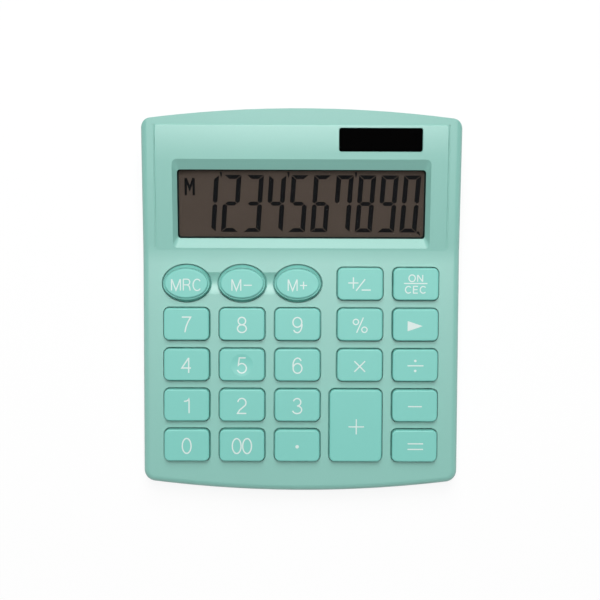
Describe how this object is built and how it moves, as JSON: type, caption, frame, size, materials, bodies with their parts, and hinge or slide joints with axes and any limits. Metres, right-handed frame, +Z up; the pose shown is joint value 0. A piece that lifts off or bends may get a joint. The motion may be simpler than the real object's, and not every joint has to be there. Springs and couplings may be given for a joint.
{
  "type": "desktop calculator",
  "caption": "Compact desktop electronic calculator: wedge case, sloping display panel with solar strip, and sprung plastic keys over a rubber keypad.",
  "frame": {"origin": "centre of the footprint, on the surface that the rubber feet stand on", "axes": "+X to the user's right, +Y away from the user towards the display, +Z up"},
  "size_m": [0.1036, 0.1246, 0.0229],
  "materials": {
    "case_plastic": "satin moulded plastic, mint green",
    "key_plastic": "semi-gloss moulded plastic, mint green",
    "foot_rubber": "matt black rubber",
    "screw_steel": "zinc plated",
    "window_clear": "clear polished sheet",
    "gasket_foam": "black foam",
    "lcd_glass": "smoked polarised display glass",
    "reflector_film": "silvered film",
    "holder_plastic": "natural moulded plastic",
    "ribbon_film": "amber flexible film",
    "solar_tint": "dark tinted polished sheet",
    "solar_black": "coated solar glass",
    "wire_plastic": "wire insulation",
    "keypad_rubber": "pale silicone rubber",
    "board_laminate": "phenolic laminate",
    "resin_black": "black resin",
    "component_body": "component bodies",
    "cell_steel": "nickel plated",
    "contact_steel": "tin plated"
  },
  "bodies": {
    "case": {"battery_clip": "contact_steel", "battery_contact": "contact_steel", "board_components": "component_body", "board_screws": "screw_steel", "button_cell": "cell_steel", "case_screws": "screw_steel", "circuit_board": "board_laminate", "display_window": "window_clear", "holder_screws": "screw_steel", "lcd_front_glass": "lcd_glass", "lcd_gasket": "gasket_foam", "lcd_holder": "holder_plastic", "lcd_rear_glass": "lcd_glass", "lcd_reflector": "reflector_film", "lcd_ribbon": "ribbon_film", "lower_cabinet": "case_plastic", "processor": "resin_black", "rubber_feet": "foot_rubber", "rubber_keypad": "keypad_rubber", "solar_cell": "solar_black", "solar_window": "solar_tint", "solar_wires": "wire_plastic", "upper_cabinet": "case_plastic"},
    "key_0": {"key_0": "key_plastic"},
    "key_00": {"key_00": "key_plastic"},
    "key_1": {"key_1": "key_plastic"},
    "key_2": {"key_2": "key_plastic"},
    "key_3": {"key_3": "key_plastic"},
    "key_4": {"key_4": "key_plastic"},
    "key_5": {"key_5": "key_plastic"},
    "key_6": {"key_6": "key_plastic"},
    "key_7": {"key_7": "key_plastic"},
    "key_8": {"key_8": "key_plastic"},
    "key_9": {"key_9": "key_plastic"},
    "key_back": {"key_back": "key_plastic"},
    "key_divide": {"key_divide": "key_plastic"},
    "key_equals": {"key_equals": "key_plastic"},
    "key_m_minus": {"key_m_minus": "key_plastic"},
    "key_m_plus": {"key_m_plus": "key_plastic"},
    "key_minus": {"key_minus": "key_plastic"},
    "key_mrc": {"key_mrc": "key_plastic"},
    "key_multiply": {"key_multiply": "key_plastic"},
    "key_on": {"key_on": "key_plastic"},
    "key_percent": {"key_percent": "key_plastic"},
    "key_plus": {"key_plus": "key_plastic"},
    "key_point": {"key_point": "key_plastic"},
    "key_sign": {"key_sign": "key_plastic"}
  },
  "joints": [
    {"name": "key_0_press", "type": "slide", "parent": "case", "child": "key_0", "axis": [0, 0.0698, -0.9976], "range_m": [0, 0.0013], "stiffness_N_per_m": 400, "springref_m": -0.0005, "deforming": ["rubber_keypad"]},
    {"name": "key_00_press", "type": "slide", "parent": "case", "child": "key_00", "axis": [0, 0.0698, -0.9976], "range_m": [0, 0.0013], "stiffness_N_per_m": 400, "springref_m": -0.0005, "deforming": ["rubber_keypad"]},
    {"name": "key_1_press", "type": "slide", "parent": "case", "child": "key_1", "axis": [0, 0.0698, -0.9976], "range_m": [0, 0.0013], "stiffness_N_per_m": 400, "springref_m": -0.0005, "deforming": ["rubber_keypad"]},
    {"name": "key_2_press", "type": "slide", "parent": "case", "child": "key_2", "axis": [0, 0.0698, -0.9976], "range_m": [0, 0.0013], "stiffness_N_per_m": 400, "springref_m": -0.0005, "deforming": ["rubber_keypad"]},
    {"name": "key_3_press", "type": "slide", "parent": "case", "child": "key_3", "axis": [0, 0.0698, -0.9976], "range_m": [0, 0.0013], "stiffness_N_per_m": 400, "springref_m": -0.0005, "deforming": ["rubber_keypad"]},
    {"name": "key_4_press", "type": "slide", "parent": "case", "child": "key_4", "axis": [0, 0.0698, -0.9976], "range_m": [0, 0.0013], "stiffness_N_per_m": 400, "springref_m": -0.0005, "deforming": ["rubber_keypad"]},
    {"name": "key_5_press", "type": "slide", "parent": "case", "child": "key_5", "axis": [0, 0.0698, -0.9976], "range_m": [0, 0.0013], "stiffness_N_per_m": 400, "springref_m": -0.0005, "deforming": ["rubber_keypad"]},
    {"name": "key_6_press", "type": "slide", "parent": "case", "child": "key_6", "axis": [0, 0.0698, -0.9976], "range_m": [0, 0.0013], "stiffness_N_per_m": 400, "springref_m": -0.0005, "deforming": ["rubber_keypad"]},
    {"name": "key_7_press", "type": "slide", "parent": "case", "child": "key_7", "axis": [0, 0.0698, -0.9976], "range_m": [0, 0.0013], "stiffness_N_per_m": 400, "springref_m": -0.0005, "deforming": ["rubber_keypad"]},
    {"name": "key_8_press", "type": "slide", "parent": "case", "child": "key_8", "axis": [0, 0.0698, -0.9976], "range_m": [0, 0.0013], "stiffness_N_per_m": 400, "springref_m": -0.0005, "deforming": ["rubber_keypad"]},
    {"name": "key_9_press", "type": "slide", "parent": "case", "child": "key_9", "axis": [0, 0.0698, -0.9976], "range_m": [0, 0.0013], "stiffness_N_per_m": 400, "springref_m": -0.0005, "deforming": ["rubber_keypad"]},
    {"name": "key_back_press", "type": "slide", "parent": "case", "child": "key_back", "axis": [0, 0.0698, -0.9976], "range_m": [0, 0.0013], "stiffness_N_per_m": 400, "springref_m": -0.0005, "deforming": ["rubber_keypad"]},
    {"name": "key_divide_press", "type": "slide", "parent": "case", "child": "key_divide", "axis": [0, 0.0698, -0.9976], "range_m": [0, 0.0013], "stiffness_N_per_m": 400, "springref_m": -0.0005, "deforming": ["rubber_keypad"]},
    {"name": "key_equals_press", "type": "slide", "parent": "case", "child": "key_equals", "axis": [0, 0.0698, -0.9976], "range_m": [0, 0.0013], "stiffness_N_per_m": 400, "springref_m": -0.0005, "deforming": ["rubber_keypad"]},
    {"name": "key_m_minus_press", "type": "slide", "parent": "case", "child": "key_m_minus", "axis": [0, 0.0698, -0.9976], "range_m": [0, 0.0013], "stiffness_N_per_m": 400, "springref_m": -0.0005, "deforming": ["rubber_keypad"]},
    {"name": "key_m_plus_press", "type": "slide", "parent": "case", "child": "key_m_plus", "axis": [0, 0.0698, -0.9976], "range_m": [0, 0.0013], "stiffness_N_per_m": 400, "springref_m": -0.0005, "deforming": ["rubber_keypad"]},
    {"name": "key_minus_press", "type": "slide", "parent": "case", "child": "key_minus", "axis": [0, 0.0698, -0.9976], "range_m": [0, 0.0013], "stiffness_N_per_m": 400, "springref_m": -0.0005, "deforming": ["rubber_keypad"]},
    {"name": "key_mrc_press", "type": "slide", "parent": "case", "child": "key_mrc", "axis": [0, 0.0698, -0.9976], "range_m": [0, 0.0013], "stiffness_N_per_m": 400, "springref_m": -0.0005, "deforming": ["rubber_keypad"]},
    {"name": "key_multiply_press", "type": "slide", "parent": "case", "child": "key_multiply", "axis": [0, 0.0698, -0.9976], "range_m": [0, 0.0013], "stiffness_N_per_m": 400, "springref_m": -0.0005, "deforming": ["rubber_keypad"]},
    {"name": "key_on_press", "type": "slide", "parent": "case", "child": "key_on", "axis": [0, 0.0698, -0.9976], "range_m": [0, 0.0013], "stiffness_N_per_m": 400, "springref_m": -0.0005, "deforming": ["rubber_keypad"]},
    {"name": "key_percent_press", "type": "slide", "parent": "case", "child": "key_percent", "axis": [0, 0.0698, -0.9976], "range_m": [0, 0.0013], "stiffness_N_per_m": 400, "springref_m": -0.0005, "deforming": ["rubber_keypad"]},
    {"name": "key_plus_press", "type": "slide", "parent": "case", "child": "key_plus", "axis": [0, 0.0698, -0.9976], "range_m": [0, 0.0013], "stiffness_N_per_m": 400, "springref_m": -0.0005, "deforming": ["rubber_keypad"]},
    {"name": "key_point_press", "type": "slide", "parent": "case", "child": "key_point", "axis": [0, 0.0698, -0.9976], "range_m": [0, 0.0013], "stiffness_N_per_m": 400, "springref_m": -0.0005, "deforming": ["rubber_keypad"]},
    {"name": "key_sign_press", "type": "slide", "parent": "case", "child": "key_sign", "axis": [0, 0.0698, -0.9976], "range_m": [0, 0.0013], "stiffness_N_per_m": 400, "springref_m": -0.0005, "deforming": ["rubber_keypad"]}
  ]
}
